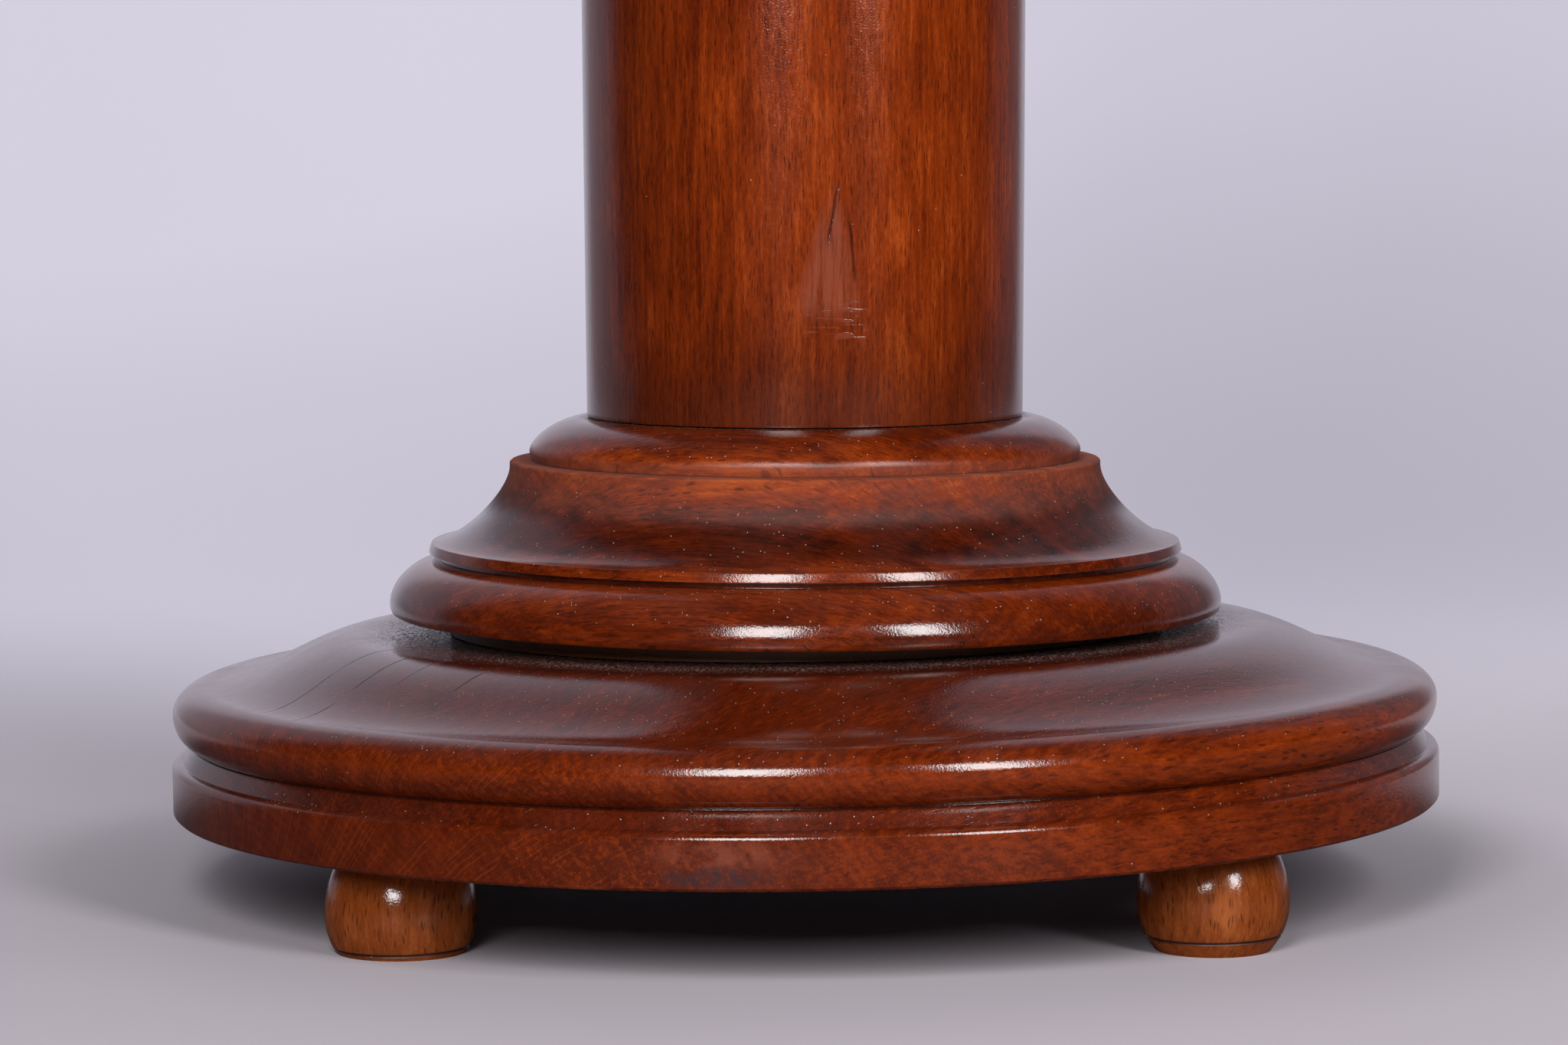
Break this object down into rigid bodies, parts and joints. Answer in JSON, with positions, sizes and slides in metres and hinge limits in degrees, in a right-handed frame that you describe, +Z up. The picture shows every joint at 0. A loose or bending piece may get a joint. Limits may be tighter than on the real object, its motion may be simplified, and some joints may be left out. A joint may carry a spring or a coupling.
{
  "type": "display pedestal",
  "caption": "Round column pedestal in stained, polished beech: turned base disc on bun feet, moulded column foot, swelling shaft, capital and round top board.",
  "frame": {"origin": "on the column's axis at the floor, at the middle of the underside's footprint", "axes": "+Z up along the column, -Y towards the front, +X to the right seen from the front"},
  "size_m": [0.3591, 0.359, 1.1],
  "materials": {
    "polished_beech": "stained beech, French-polished to a high gloss",
    "dark_polished_beech": "dark stained beech, French-polished to a high gloss, dusty on top",
    "pale_beech": "lightly stained beech with dark ray flecks, satin to gloss"
  },
  "bodies": {
    "root": {"base_disc": "dark_polished_beech", "column_base": "polished_beech", "shaft": "polished_beech", "capital": "polished_beech", "top_board": "dark_polished_beech", "foot_front_left": "pale_beech", "foot_front_right": "pale_beech", "foot_back_left": "pale_beech", "foot_back_right": "pale_beech"}
  },
  "joints": []
}
